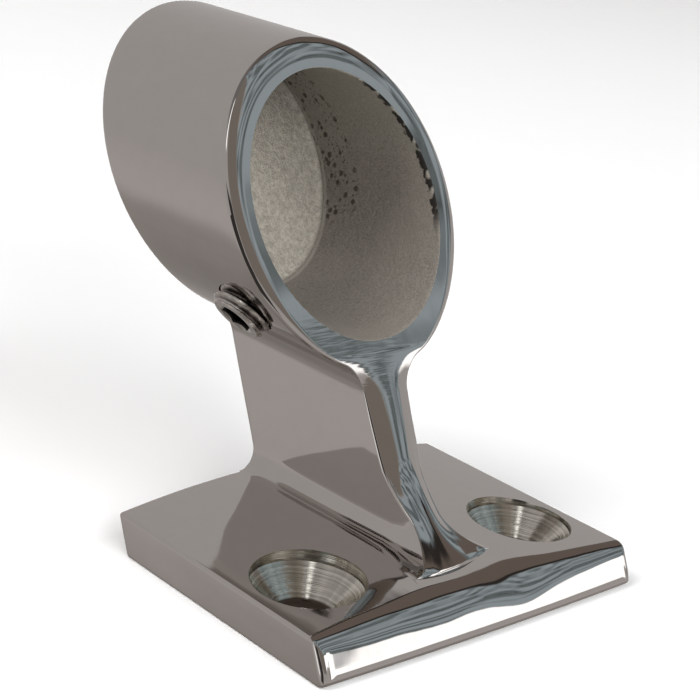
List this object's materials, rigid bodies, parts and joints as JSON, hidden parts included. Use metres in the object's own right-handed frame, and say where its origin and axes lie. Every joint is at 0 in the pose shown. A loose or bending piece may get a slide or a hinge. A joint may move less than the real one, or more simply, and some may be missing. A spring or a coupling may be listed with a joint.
{
  "type": "raked end stanchion base",
  "caption": "Cast, polished stainless end fitting for a boat handrail: crowned base plate, leaning web and blind slanted tube socket, with a socket set screw that clamps the rail.",
  "frame": {"origin": "centre of the base plate's underside, which sits on the deck or wall", "axes": "+Z out of the mounting surface, +X along the rail, out of the socket's mouth, -Y the side that the set screw is on"},
  "size_m": [0.0538, 0.0402, 0.0467],
  "materials": {
    "polished_stainless": "mirror-polished stainless steel outside, sandy as-cast inside the socket, turned countersinks",
    "screw_steel": "plain rolled thread, slightly darker stainless steel"
  },
  "bodies": {
    "casting": {"casting": "polished_stainless"},
    "set_screw": {"set_screw": "screw_steel"}
  },
  "joints": [
    {"name": "set_screw_travel", "type": "slide", "parent": "casting", "child": "set_screw", "axis": [0, 0.7071, 0.7071], "range_m": [-0.0015, 0.00125]}
  ]
}
